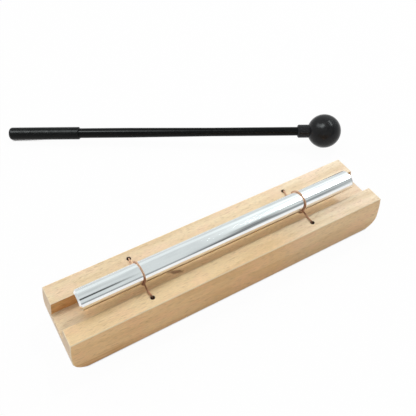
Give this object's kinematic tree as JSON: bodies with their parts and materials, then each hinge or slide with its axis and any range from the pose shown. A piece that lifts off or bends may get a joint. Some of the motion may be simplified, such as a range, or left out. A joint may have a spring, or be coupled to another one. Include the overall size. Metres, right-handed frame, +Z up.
{
  "type": "hand chime",
  "caption": "Sounding rod slung on knotted cords over a grooved hardwood block, with a ball-headed mallet that lies beside it.",
  "frame": {"origin": "centre of the block's underside, on the surface that it stands on", "axes": "+X along the block to its right end, +Y away from the near side, +Z up"},
  "size_m": [0.2345, 0.2003, 0.0385],
  "materials": {
    "beech": "satin",
    "bar": "polished",
    "cord": "matte",
    "shaft": "gloss",
    "grip": "satin",
    "ball": "satin"
  },
  "bodies": {
    "block": {"block": "beech"},
    "slings": {"cord_left": "cord", "cord_right": "cord"},
    "rod": {"chime_rod": "bar"},
    "mallet": {"mallet_shaft": "shaft", "mallet_grip": "grip", "mallet_head": "ball"}
  },
  "joints": [
    {"name": "rod_bounce", "type": "slide", "parent": "block", "child": "slings", "axis": [0, 0, 1], "range_m": [-0.003, 0.0015], "stiffness_N_per_m": 300, "springref_m": 0.00176, "deforming": ["cord_left", "cord_right"]},
    {"name": "rod_turn", "type": "hinge", "parent": "slings", "child": "rod", "pos_m": [0, -0.0016, 0.0315], "axis": [1, 0, 0], "continuous": true},
    {"name": "mallet_lift", "type": "slide", "parent": "block", "child": "mallet", "axis": [0, 0, 1], "range_m": [0, 0.12]}
  ]
}
